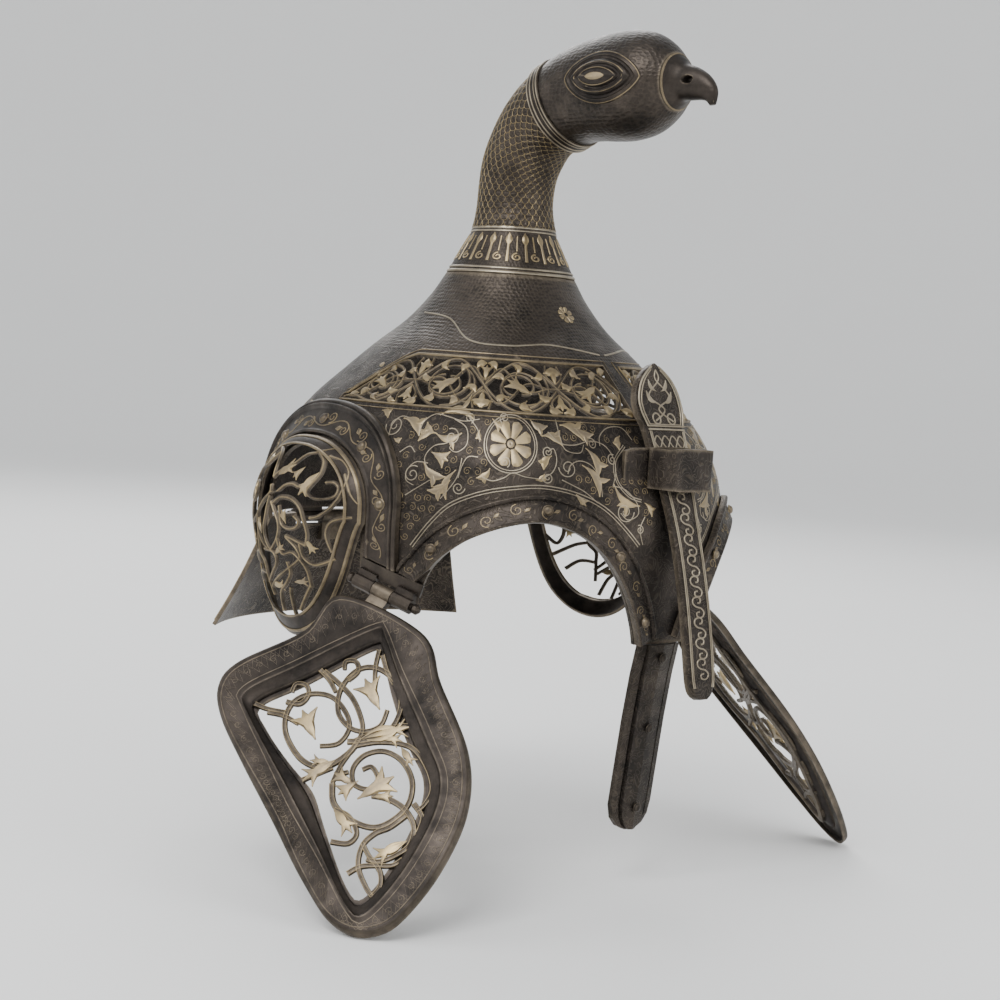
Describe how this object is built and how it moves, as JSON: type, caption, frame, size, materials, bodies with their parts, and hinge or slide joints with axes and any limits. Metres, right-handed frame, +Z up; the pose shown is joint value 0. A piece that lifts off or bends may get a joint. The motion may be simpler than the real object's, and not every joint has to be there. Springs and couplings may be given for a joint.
{
  "type": "brass helmet",
  "caption": "Open-faced brass helmet with a bird's neck and head rising from the crown, pierced ear bosses, hinged cheek and nape guards and a sliding nasal bar.",
  "frame": {"origin": "centre of the head opening, at the level where the ear bosses sit, where a head carries the bowl", "axes": "+Z up through the crown and the bird's neck, -Y forward, the way the beak points, -X the wearer's right"},
  "size_m": [0.3414, 0.2834, 0.39],
  "materials": {
    "bowl_brass": "patinated brass, engraved, with brass and silver inlay",
    "neck_brass": "patinated brass, engraved with scales",
    "head_brass": "patinated brass, engraved with fine feathers",
    "beak_brass": "patinated brass, worn smooth",
    "collar_brass": "brass with silver lines",
    "eye_brass": "worn brass and silver inlay",
    "frame_brass": "patinated brass, engraved",
    "boss_brass": "patinated pierced brass",
    "brow_brass": "patinated brass, riveted",
    "nasal_brass": "patinated brass",
    "bracket_brass": "patinated brass, engraved",
    "bar_brass": "patinated brass, silver wire",
    "hinge_brass": "patinated brass",
    "pin_brass": "worn brass",
    "guard_brass": "patinated pierced brass, engraved border",
    "nape_brass": "patinated brass with raised dots",
    "rivet_brass": "worn brass"
  },
  "bodies": {
    "helmet": {"beak": "beak_brass", "bird_head": "head_brass", "bird_neck": "neck_brass", "bowl": "bowl_brass", "brow_rim_left": "brow_brass", "brow_rim_right": "brow_brass", "brow_rivet_left_1": "rivet_brass", "brow_rivet_left_2": "rivet_brass", "brow_rivet_left_3": "rivet_brass", "brow_rivet_left_4": "rivet_brass", "brow_rivet_right_1": "rivet_brass", "brow_rivet_right_2": "rivet_brass", "brow_rivet_right_3": "rivet_brass", "brow_rivet_right_4": "rivet_brass", "cheek_hinge_left": "hinge_brass", "cheek_hinge_right": "hinge_brass", "cheek_pin_left": "pin_brass", "cheek_pin_right": "pin_brass", "ear_boss_left": "boss_brass", "ear_boss_right": "boss_brass", "ear_frame_left": "frame_brass", "ear_frame_right": "frame_brass", "ear_rivet_left_1": "rivet_brass", "ear_rivet_left_2": "rivet_brass", "ear_rivet_left_3": "rivet_brass", "ear_rivet_left_4": "rivet_brass", "ear_rivet_left_5": "rivet_brass", "ear_rivet_right_1": "rivet_brass", "ear_rivet_right_2": "rivet_brass", "ear_rivet_right_3": "rivet_brass", "ear_rivet_right_4": "rivet_brass", "ear_rivet_right_5": "rivet_brass", "eye_left": "eye_brass", "eye_right": "eye_brass", "nape_hinge": "hinge_brass", "nape_pin": "pin_brass", "nasal_bracket": "bracket_brass", "nasal_guard": "nasal_brass", "neck_collar": "collar_brass"},
    "right_cheek": {"cheek_guard_right": "guard_brass"},
    "left_cheek": {"cheek_guard_left": "guard_brass"},
    "nape": {"nape_guard": "nape_brass"},
    "bar": {"nasal_bar": "bar_brass"}
  },
  "joints": [
    {"name": "cheek_hinge_right", "type": "hinge", "parent": "helmet", "child": "right_cheek", "pos_m": [-0.10162, -0.03765, -0.0378], "axis": [-0.2752, 0.9159, 0.2924], "range_deg": [-30, 60]},
    {"name": "cheek_hinge_left", "type": "hinge", "parent": "helmet", "child": "left_cheek", "pos_m": [0.10162, -0.03765, -0.0378], "axis": [-0.2752, -0.9159, -0.2924], "range_deg": [-30, 60]},
    {"name": "nape_hinge", "type": "hinge", "parent": "helmet", "child": "nape", "pos_m": [0, 0.11999, -0.01971], "axis": [1, 0, 0], "range_deg": [-15, 60]},
    {"name": "nasal_slide", "type": "slide", "parent": "helmet", "child": "bar", "axis": [0, 0.2868, 0.958], "range_m": [0, 0.055]}
  ]
}
